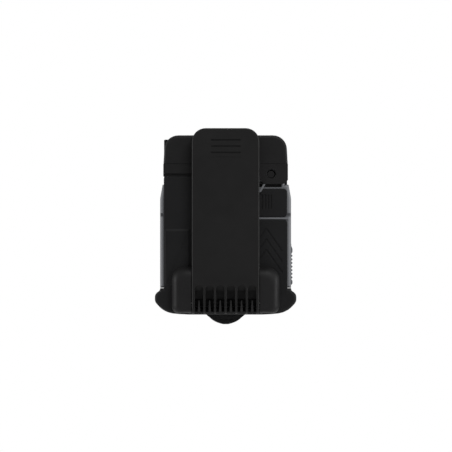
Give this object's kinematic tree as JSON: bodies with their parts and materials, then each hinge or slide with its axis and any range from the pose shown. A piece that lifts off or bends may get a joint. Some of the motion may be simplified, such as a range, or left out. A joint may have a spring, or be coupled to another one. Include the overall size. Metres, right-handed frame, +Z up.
{
  "type": "portable gas detector",
  "caption": "Hand-sized gas detector in a rubber boot, with sensors along its top, a display, keys and a sprung belt clip on its back.",
  "frame": {"origin": "middle of the belt gap between the back of the detector and the clip arm", "axes": "+Z up along the detector, +Y out of its back through the belt clip, display facing -Y"},
  "size_m": [0.0722, 0.036, 0.1001],
  "materials": {
    "case_grey": "matte grey moulded plastic",
    "black_rubber": "matte black overmoulded rubber",
    "black_plastic": "fine-textured black plastic",
    "clip_plastic": "satin black glass-filled nylon",
    "steel": "bright steel",
    "black_steel": "black oxide screw steel",
    "board_green": "solder-masked board",
    "window_glass": "clear window",
    "lcd_grey": "grey-green LCD glass",
    "key_grey": "matte grey silicone",
    "seal_silicone": "soft silicone",
    "lens_red": "clear red plastic",
    "filter_white": "white porous membrane",
    "sensor_shell": "off-white moulded plastic",
    "battery_wrap": "blue shrink wrap",
    "component_black": "black component moulding"
  },
  "bodies": {
    "housing": {"rear_case": "case_grey", "front_case": "case_grey", "case_seal": "seal_silicone", "rear_boot": "black_rubber", "small_pad": "black_rubber", "upper_band": "black_plastic", "sensor_cap": "black_plastic", "front_frame": "black_plastic", "display_window": "window_glass", "lcd_module": "lcd_grey", "keypad_membrane": "seal_silicone", "alarm_light_right": "lens_red", "alarm_light_left": "lens_red", "buzzer": "component_black", "gas_sensor_1": "sensor_shell", "gas_sensor_2": "sensor_shell", "gas_sensor_3": "sensor_shell", "gas_sensor_4": "sensor_shell", "sensor_board": "board_green", "sensor_gasket": "seal_silicone", "sensor_cover": "black_plastic", "sensor_filter": "filter_white", "main_board": "board_green", "battery_plug": "component_black", "side_switch": "component_black", "battery_cell": "battery_wrap", "battery_tray": "black_plastic", "vibration_motor": "steel", "charge_port": "steel", "clip_base": "clip_plastic", "clip_pin": "black_steel", "clip_spring_right": "steel", "clip_spring_left": "steel", "case_screw_upper_right": "black_steel", "case_screw_upper_left": "black_steel", "case_screw_lower_right": "black_steel", "case_screw_lower_left": "black_steel", "clip_screw_right": "black_steel", "clip_screw_left": "black_steel", "board_screw_right": "steel", "board_screw_left": "steel"},
    "clip": {"clip_arm": "clip_plastic"},
    "power_button": {"power_key": "key_grey"},
    "menu_button": {"menu_key": "key_grey"},
    "side_button": {"side_key": "case_grey"},
    "port_flap": {"port_cover": "black_rubber"},
    "motor_rotor": {"motor_weight": "steel"}
  },
  "joints": [
    {"name": "clip_hinge", "type": "hinge", "parent": "housing", "child": "clip", "pos_m": [0, 0.00165, -0.052], "axis": [-1, 0, 0], "range_deg": [0, 20], "stiffness_Nm_per_rad": 0.4, "springref_deg": -20.05},
    {"name": "power_press", "type": "slide", "parent": "housing", "child": "power_button", "axis": [0, 1, 0], "range_m": [0, 0.0006], "stiffness_N_per_m": 900, "springref_m": -0.0004},
    {"name": "menu_press", "type": "slide", "parent": "housing", "child": "menu_button", "axis": [0, 1, 0], "range_m": [0, 0.0006], "stiffness_N_per_m": 900, "springref_m": -0.0004},
    {"name": "side_press", "type": "slide", "parent": "housing", "child": "side_button", "axis": [1, 0, 0], "range_m": [0, 0.0008], "stiffness_N_per_m": 900, "springref_m": -0.0004},
    {"name": "port_cover_hinge", "type": "hinge", "parent": "housing", "child": "port_flap", "pos_m": [0, -0.02265, -0.0566], "axis": [-1, 0, 0], "range_deg": [0, 80]},
    {"name": "motor_spin", "type": "hinge", "parent": "housing", "child": "motor_rotor", "pos_m": [0.0146, -0.00965, -0.045], "axis": [1, 0, 0], "continuous": true}
  ]
}
